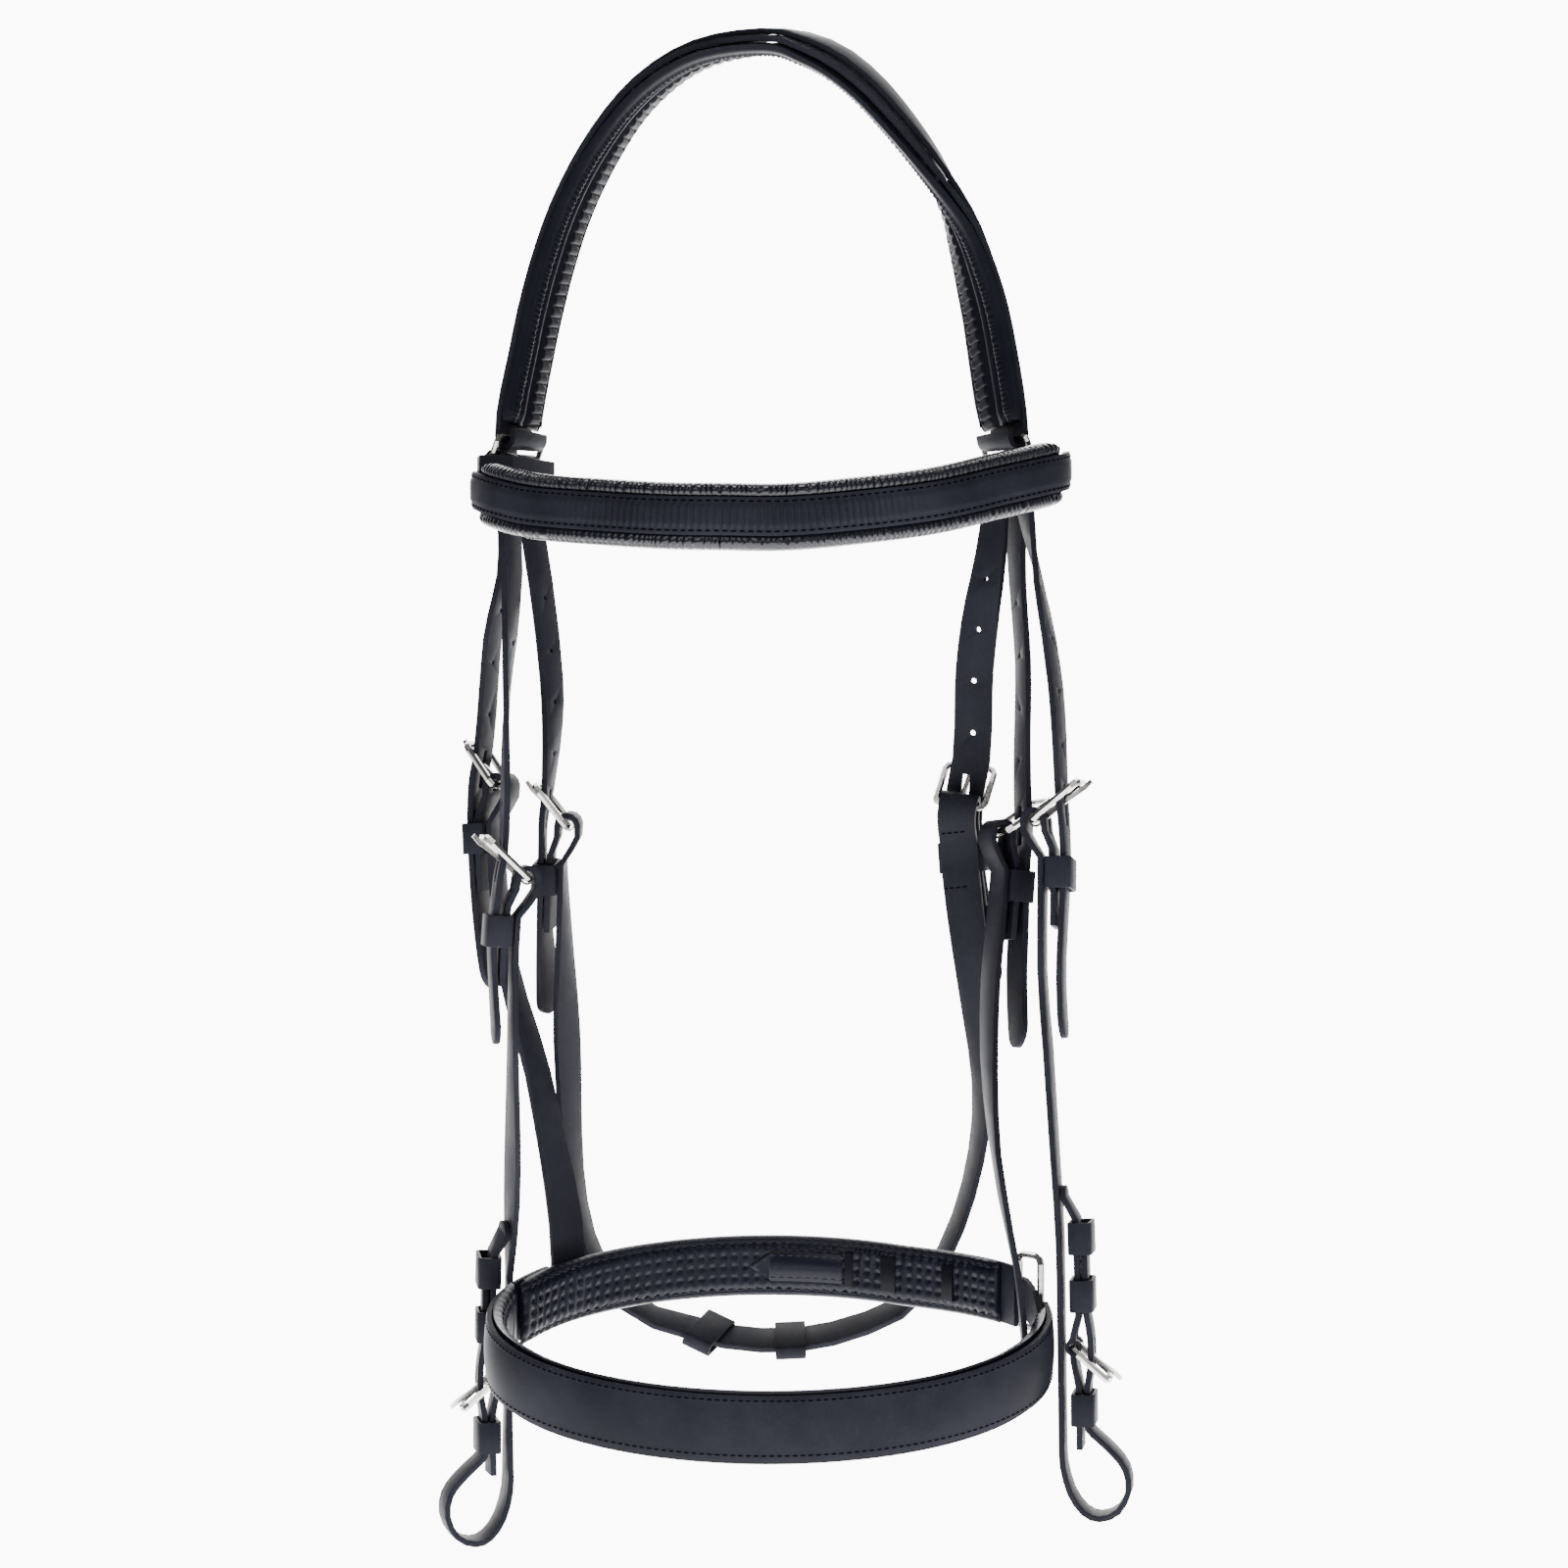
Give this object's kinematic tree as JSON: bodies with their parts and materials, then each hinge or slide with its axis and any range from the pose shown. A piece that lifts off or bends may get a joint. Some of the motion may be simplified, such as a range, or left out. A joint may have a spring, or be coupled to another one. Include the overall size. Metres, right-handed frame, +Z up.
{
  "type": "padded horse bridle",
  "caption": "Padded leather bridle without bit or reins: crown, browband, cheek straps, throat latch and noseband, with buckles that open and straps that swing.",
  "frame": {"origin": "where the crown hangs: the middle of the crown pad's inner face at the top of the arch", "axes": "+Z up; -Y is the front of the horse's face; +X is the right of the picture, the horse's left side"},
  "size_m": [0.287, 0.1921, 0.6326],
  "materials": {
    "leather": "dark blue-black bridle leather, smooth, half matt, with light stitching",
    "lining": "soft black glossy padding leather, gathered",
    "nickel": "polished nickel-coloured metal"
  },
  "bodies": {
    "headpiece": {"crown_pad": "lining", "crown_leather": "leather", "sliphead": "leather", "ring_left": "nickel", "ring_right": "nickel", "throat_tab_left": "leather", "throat_tab_right": "leather", "browband_leather": "leather", "browband_pad": "lining", "browband_loop_left": "leather", "browband_loop_right": "leather"},
    "cheek_left": {"cheek_left_strap": "leather", "cheek_left_buckle": "nickel", "cheek_left_keeper": "leather", "cheekpiece_left": "leather", "bit_tab_left": "leather", "bit_left_buckle": "nickel", "bit_left_keeper_1": "leather", "bit_left_keeper_2": "leather", "bit_left_keeper_3": "leather"},
    "cheek_right": {"cheek_right_strap": "leather", "cheek_right_buckle": "nickel", "cheek_right_keeper": "leather", "cheekpiece_right": "leather", "bit_tab_right": "leather", "bit_right_buckle": "nickel", "bit_right_keeper_1": "leather", "bit_right_keeper_2": "leather", "bit_right_keeper_3": "leather"},
    "throat": {"throat_left_strap": "leather", "throat_left_buckle": "nickel", "throat_left_keeper": "leather", "throat_right_strap": "leather", "throat_right_buckle": "nickel", "throat_right_keeper": "leather", "throat_latch": "leather"},
    "noseband": {"noseband_left_strap": "leather", "noseband_left_buckle": "nickel", "noseband_left_keeper": "leather", "noseband_right_strap": "leather", "noseband_right_buckle": "nickel", "noseband_right_keeper": "leather", "noseband_hanger_left": "leather", "noseband_hanger_right": "leather", "noseband_leather": "leather", "noseband_pad": "lining", "chin_strap": "leather", "chin_pad": "lining", "noseband_billet": "leather", "noseband_buckle": "nickel"},
    "bit_left_tongue": {"bit_left_tongue": "nickel"},
    "bit_right_tongue": {"bit_right_tongue": "nickel"},
    "cheek_left_tongue": {"cheek_left_tongue": "nickel"},
    "cheek_right_tongue": {"cheek_right_tongue": "nickel"},
    "noseband_left_tongue": {"noseband_left_tongue": "nickel"},
    "noseband_right_tongue": {"noseband_right_tongue": "nickel"},
    "throat_left_tongue": {"throat_left_tongue": "nickel"},
    "throat_right_tongue": {"throat_right_tongue": "nickel"},
    "throat_slide_left": {"throat_slide_left": "leather"},
    "throat_slide_right": {"throat_slide_right": "leather"}
  },
  "joints": [
    {"name": "cheek_left_swing", "type": "hinge", "parent": "headpiece", "child": "cheek_left", "pos_m": [-0.10668, 0, -0.16902], "axis": [0.3894, 0.9211, 0], "range_deg": [0, 8]},
    {"name": "cheek_right_swing", "type": "hinge", "parent": "headpiece", "child": "cheek_right", "pos_m": [0.10056, 0, -0.16902], "axis": [0.3999, -0.9165, 0], "range_deg": [0, 6]},
    {"name": "throat_swing", "type": "hinge", "parent": "headpiece", "child": "throat", "pos_m": [0, 0.0088, -0.192], "axis": [1, 0, 0], "range_deg": [0, 40]},
    {"name": "noseband_swing", "type": "hinge", "parent": "headpiece", "child": "noseband", "pos_m": [0, 0.011, -0.192], "axis": [1, 0, 0], "range_deg": [-3, 0]},
    {"name": "bit_left_tongue_turn", "type": "hinge", "parent": "cheek_left", "child": "bit_left_tongue", "pos_m": [-0.11435, 0.00933, -0.54898], "axis": [-0.1501, 0.9887, 0.0028], "range_deg": [0, 10]},
    {"name": "bit_right_tongue_turn", "type": "hinge", "parent": "cheek_right", "child": "bit_right_tongue", "pos_m": [0.1239, -0.03876, -0.52993], "axis": [-0.156, -0.9878, -0.0023], "range_deg": [0, 10]},
    {"name": "cheek_left_tongue_turn", "type": "hinge", "parent": "cheek_left", "child": "cheek_left_tongue", "pos_m": [-0.09941, -0.02439, -0.34061], "axis": [0.1907, -0.9816, -0.0084], "range_deg": [0, 10]},
    {"name": "cheek_right_tongue_turn", "type": "hinge", "parent": "cheek_right", "child": "cheek_right_tongue", "pos_m": [0.1094, -0.02129, -0.31692], "axis": [0.2398, 0.9695, -0.0509], "range_deg": [0, 10]},
    {"name": "noseband_left_tongue_turn", "type": "hinge", "parent": "noseband", "child": "noseband_left_tongue", "pos_m": [-0.11281, 0.01952, -0.30254], "axis": [-0.293, -0.9561, -0.0056], "range_deg": [0, 10]},
    {"name": "noseband_right_tongue_turn", "type": "hinge", "parent": "noseband", "child": "noseband_right_tongue", "pos_m": [0.09502, 0.003, -0.32199], "axis": [-0.3024, 0.952, -0.047], "range_deg": [0, 10]},
    {"name": "throat_left_tongue_turn", "type": "hinge", "parent": "throat", "child": "throat_left_tongue", "pos_m": [-0.0839, 0.00716, -0.3189], "axis": [-0.0448, -0.9966, -0.0697], "range_deg": [0, 10]},
    {"name": "throat_right_tongue_turn", "type": "hinge", "parent": "throat", "child": "throat_right_tongue", "pos_m": [0.07975, 0.02049, -0.31108], "axis": [-0.9685, 0.2195, 0.1177], "range_deg": [0, 10]},
    {"name": "throat_left_slide", "type": "slide", "parent": "throat", "child": "throat_slide_left", "axis": [0.9663, 0.0296, -0.2558], "range_m": [-0.006, 0.001]},
    {"name": "throat_right_slide", "type": "slide", "parent": "throat", "child": "throat_slide_right", "axis": [0.9987, -0.01, 0.05], "range_m": [-0.005, 0.001]}
  ]
}
